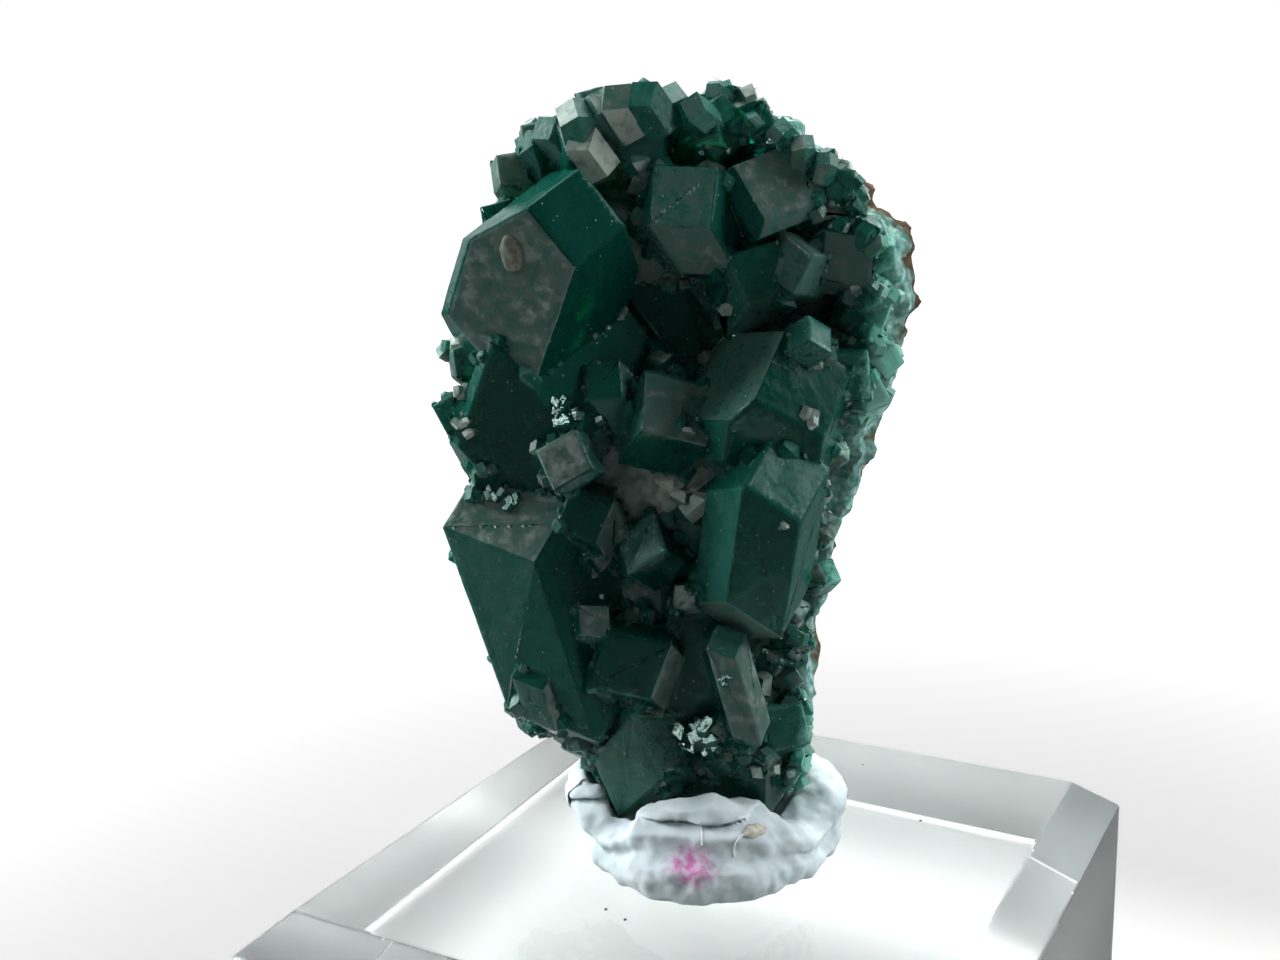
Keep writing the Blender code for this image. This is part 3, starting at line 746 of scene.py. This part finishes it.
roughen(putty, "putty_dents", "CLOUDS", 0.0028, 0.0009)
roughen(putty, "putty_marks", "CLOUDS", 0.0009, 0.00022)
apply_modifiers(putty)
for vert in putty.data.vertices:
    place_mm = from_row @ vert.co
    if place_mm.y < FOLD_BEFORE:
        for (left, low), (right, high) in zip(FOLD_LINE, FOLD_LINE[1:]):
            if left <= place_mm.x < right:
                fold = low + (high - low) * (place_mm.x - left) / (right - left)
                reach = (place_mm.z - fold) / FOLD_WIDTH
                pinch = FOLD_DEPTH * math.exp(-reach * reach)
                if place_mm.z > fold:
                    pinch += FOLD_STEP
                place_mm.y += pinch
                vert.co = to_row @ place_mm
    flare = max(0.0, 1.0 - (vert.co.z - BLOCK_TOP) / FLARE_HEIGHT)
    vert.co.z -= min(flare, 1.0) * FLARE_DROP
bpy.ops.object.shade_smooth()


def round_patch(tree, place, centre, size):
    """A soft patch, 1 at its centre and 0 at its edge, its half sizes in the units of the place."""
    fitted = tree.nodes.new("ShaderNodeMapping")
    feed(fitted.inputs["Vector"], place)
    feed(fitted.inputs["Location"], [-middle / half for middle, half in zip(centre, size)])
    feed(fitted.inputs["Scale"], [1.0 / half for half in size])
    patch = tree.nodes.new("ShaderNodeTexGradient")
    patch.gradient_type = "SPHERICAL"
    feed(patch.inputs[0], fitted.outputs[0])
    return patch.outputs[0]


tack, tree, shader = new_finish("blue_grey_putty")
feed(shader.inputs["Roughness"], 0.62)
place = in_millimetres(tree, BLOCK_TOP)
putty_tone = colour_scale(
    tree, cloud(tree, place, 0.5, 3.0), (0.3, (0.43, 0.52, 0.55)), (0.7, (0.61, 0.70, 0.735)))
smear_patch = round_patch(tree, place, (-1.405, -7.4, 2.2), (2.381, 4.0, 1.667))
smear = worked_out(tree, "MULTIPLY", smear_patch, cloud(tree, place, 2.6, 5.0))
smeared = painted(tree, stretched(tree, smear, SMEAR_SHARE), putty_tone, SMEAR_PINK)
stain_patch = round_patch(tree, place, (5.6, -3.0, 5.0), (1.2, 1.2, 1.2))
feed(shader.inputs["Base Color"], painted(tree, stain_patch, smeared, STAIN_TAN))
putty.data.materials.append(tack)
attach(putty, "root")
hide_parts("mounting_putty")

# The fibres: two fine white threads stuck to the front of the putty, caught in it by hand. Each is
# a run of points right of and above the foot, in millimetres.
FIBRES = [
    [(-0.9, 4.8), (-0.8, 4.3), (-0.8, 3.9), (-0.8, 3.4)],
    [(1.5, 4.0), (1.1, 3.7), (0.9, 3.2), (0.9, 2.7)],
]
FIBRE_RADIUS = 0.000035
FIBRE_LIFT = 1.5 * FIBRE_RADIUS
PUTTY_FRONT = -7.0
bpy.context.view_layer.update()
fibres = []
for course in FIBRES:
    line = bpy.data.curves.new("putty_fibre", "CURVE")
    line.dimensions = "3D"
    line.bevel_depth = FIBRE_RADIUS
    line.bevel_resolution = 2
    line.use_fill_caps = True
    strand = line.splines.new("BEZIER")
    strand.bezier_points.add(len(course) - 1)
    for point, (right, up) in zip(strand.bezier_points, course):
        spot, normal, facet = seen_on(putty, right, up, PUTTY_FRONT)
        point.co = spot + (camera.location - spot).normalized() * FIBRE_LIFT
        point.handle_left_type = "AUTO"
        point.handle_right_type = "AUTO"
    fibre = bpy.data.objects.new("putty_fibre", line)
    scene.collection.objects.link(fibre)
    make_active(fibre)
    bpy.ops.object.convert(target="MESH")
    fibres.append(fibre)
putty_fibres = join_pieces(fibres, "putty_fibres")
white_fibre, tree, shader = new_finish("white_fibre")
feed(shader.inputs["Base Color"], (0.85, 0.87, 0.88))
feed(shader.inputs["Roughness"], 0.5)
putty_fibres.data.materials.append(white_fibre)
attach(putty_fibres, "root")

# The loose bits: one oval pale mineral grain on the largest crystal, a cream crumb in the putty and
# four specks of dust on the block. Each is a rounded lump, pressed flat on what it sits on.
DENT_SIZE = 0.0005
DENT_SHARE = 0.25
SPECKLE = 3000.0
SPECKLE_SHADE = 0.6
DUST_SPECKS = [(8.7, 4.5), (12.0, 0.9), (-6.2, -4.1), (-5.1, -4.8)]


def loose_bit(name, piece, right, up, size, tone):
    """A lump of the given width, length and height in millimetres, on what the camera sees there."""
    spot, normal, facet = seen_on(piece, right, up)
    bpy.ops.object.select_all(action="DESELECT")
    bpy.ops.mesh.primitive_ico_sphere_add(subdivisions=3, radius=0.5)
    lump = bpy.context.object
    lump.name = name
    bpy.ops.object.mode_set(mode="EDIT")
    bpy.ops.transform.resize(value=[0.001 * length for length in size])
    bpy.ops.object.mode_set(mode="OBJECT")
    upright = normal.to_track_quat("Z", "Y").to_matrix().to_4x4()
    lump.data.transform(Matrix.Translation(spot) @ upright)
    roughen(lump, name + "_dents", "CLOUDS", DENT_SIZE, 0.001 * DENT_SHARE * size[0])
    apply_modifiers(lump)
    bpy.ops.object.shade_smooth()
    dry, tree, shader = new_finish(name)
    feed(shader.inputs["Roughness"], 0.8)
    speckle = cloud(tree, tree.nodes.new("ShaderNodeTexCoord").outputs["Object"], SPECKLE)
    shade = [SPECKLE_SHADE * part for part in tone]
    feed(shader.inputs["Base Color"], colour_scale(tree, speckle, (0.35, shade), (0.65, tone)))
    lump.data.materials.append(dry)
    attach(lump, "root")
    return lump


pale_grain = loose_bit("pale_grain", crystals, -9.75, 33.75, (1.15, 1.9, 0.55), (0.17, 0.19, 0.15))
crumb = loose_bit("cream_crumb", putty, 2.5, 0.6, (1.6, 0.8, 0.5), (0.60, 0.58, 0.50))
for number, (right, up) in enumerate(DUST_SPECKS):
    speck = loose_bit(f"dust_speck_{number + 1}", block, right, up, (0.16, 0.22, 0.10), (0.10, 0.10, 0.09))
